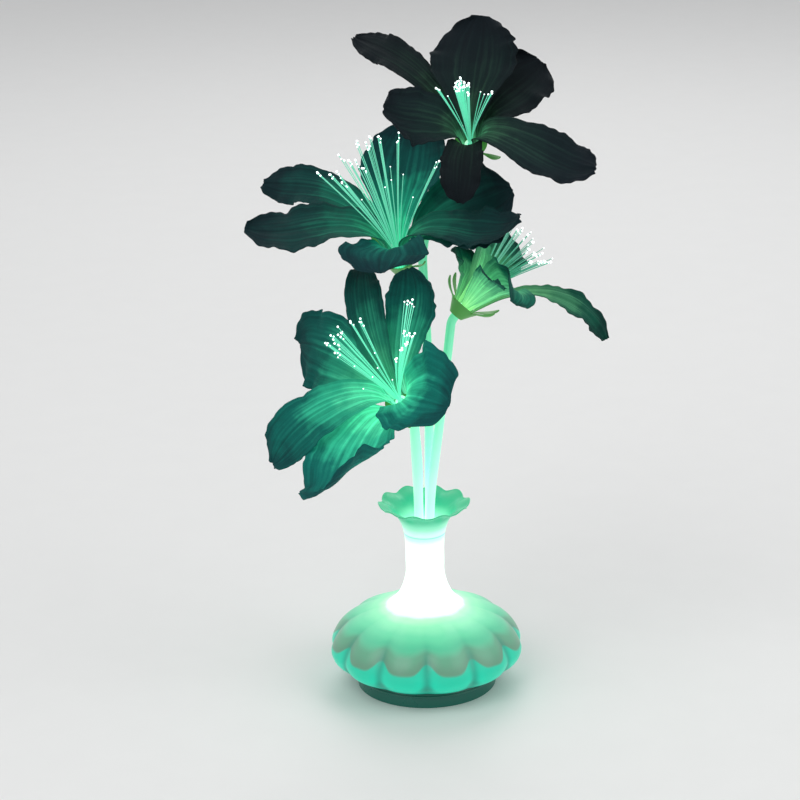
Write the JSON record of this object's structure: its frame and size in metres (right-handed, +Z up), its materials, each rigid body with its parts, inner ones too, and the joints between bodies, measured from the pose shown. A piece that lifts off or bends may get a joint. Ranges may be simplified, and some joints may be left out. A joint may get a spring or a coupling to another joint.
{
  "type": "fiber optic flower lamp",
  "caption": "Battery table lamp: a lobed bulb-shaped vase with a flared scalloped lip, lit from inside, holding long stems with lily-like fabric flowers and sprays of fibre optic strands.",
  "frame": {"origin": "on the vase's axis, in the plane of the foot ring's underside", "axes": "+Z up along the vase's axis, -Y towards the front, +X to the right as seen from the front"},
  "size_m": [0.1666, 0.1328, 0.3176],
  "materials": {
    "vase": "translucent white moulding lit green from inside",
    "base": "satin moulding",
    "screws": "zinc plated",
    "cells": "foil label over a metal can",
    "contacts": "nickel plated",
    "black_plastic": "satin",
    "board": "solder-resist coating",
    "lens": "clear",
    "resistors": "lacquered",
    "leads": "soft insulation",
    "white_plastic": "satin",
    "collar": "translucent moulding",
    "ferrule": "turned",
    "fibres": "polished light guides",
    "stems": "translucent tube lit from inside",
    "hubs": "satin",
    "calyx": "soft moulding",
    "petals": "sheer woven silk over fine ribs"
  },
  "bodies": {
    "lamp_base": {"vase_shell": "vase", "base_cover": "base", "base_screws": "screws", "battery_cells": "cells", "battery_springs": "contacts", "contact_plates_left": "contacts", "contact_plates_right": "contacts", "switch_body": "black_plastic", "switch_terminals": "contacts", "circuit_board": "board", "board_screws": "screws", "led": "lens", "led_legs": "contacts", "driver_chip": "black_plastic", "resistors": "resistors", "leads": "leads", "light_column": "white_plastic", "column_lens": "lens", "neck_collar": "collar", "ferrule": "ferrule", "fibre_trunk": "fibres"},
    "battery_door": {"battery_door": "base"},
    "switch_slider": {"switch_knob": "black_plastic"},
    "flower_top": {"stem_top": "stems", "fibre_bundle_top": "fibres", "flower_hub_top": "hubs", "calyx_top": "calyx", "inner_petals_top": "petals", "outer_petals_top": "petals", "fibre_spray_top": "fibres"},
    "flower_left": {"stem_left": "stems", "fibre_bundle_left": "fibres", "flower_hub_left": "hubs", "calyx_left": "calyx", "inner_petals_left": "petals", "outer_petals_left": "petals", "fibre_spray_left": "fibres"},
    "flower_front": {"stem_front": "stems", "fibre_bundle_front": "fibres", "flower_hub_front": "hubs", "calyx_front": "calyx", "inner_petals_front": "petals", "outer_petals_front": "petals", "fibre_spray_front": "fibres"},
    "flower_right": {"stem_right": "stems", "fibre_bundle_right": "fibres", "flower_hub_right": "hubs", "calyx_right": "calyx", "inner_petals_right": "petals", "outer_petals_right": "petals", "fibre_spray_right": "fibres"}
  },
  "joints": [
    {"name": "battery_door_hinge", "type": "hinge", "parent": "lamp_base", "child": "battery_door", "pos_m": [-0.0249, 0, 0.00305], "axis": [0, 1, 0], "range_deg": [0, 75]},
    {"name": "switch_slide", "type": "slide", "parent": "lamp_base", "child": "switch_slider", "axis": [1, 0, 0], "range_m": [-0.003, 0]},
    {"name": "stem_top_turn", "type": "hinge", "parent": "lamp_base", "child": "flower_top", "pos_m": [0.00255, 0.00255, 0.058], "axis": [0, 0, 1], "range_deg": [-4, 4]},
    {"name": "stem_left_turn", "type": "hinge", "parent": "lamp_base", "child": "flower_left", "pos_m": [-0.00255, 0.00255, 0.058], "axis": [0, 0, 1], "range_deg": [-4, 4]},
    {"name": "stem_front_turn", "type": "hinge", "parent": "lamp_base", "child": "flower_front", "pos_m": [-0.00255, -0.00255, 0.058], "axis": [0, 0, 1], "range_deg": [-4, 4]},
    {"name": "stem_right_turn", "type": "hinge", "parent": "lamp_base", "child": "flower_right", "pos_m": [0.00255, -0.00255, 0.058], "axis": [0, 0, 1], "range_deg": [-4, 4]}
  ]
}
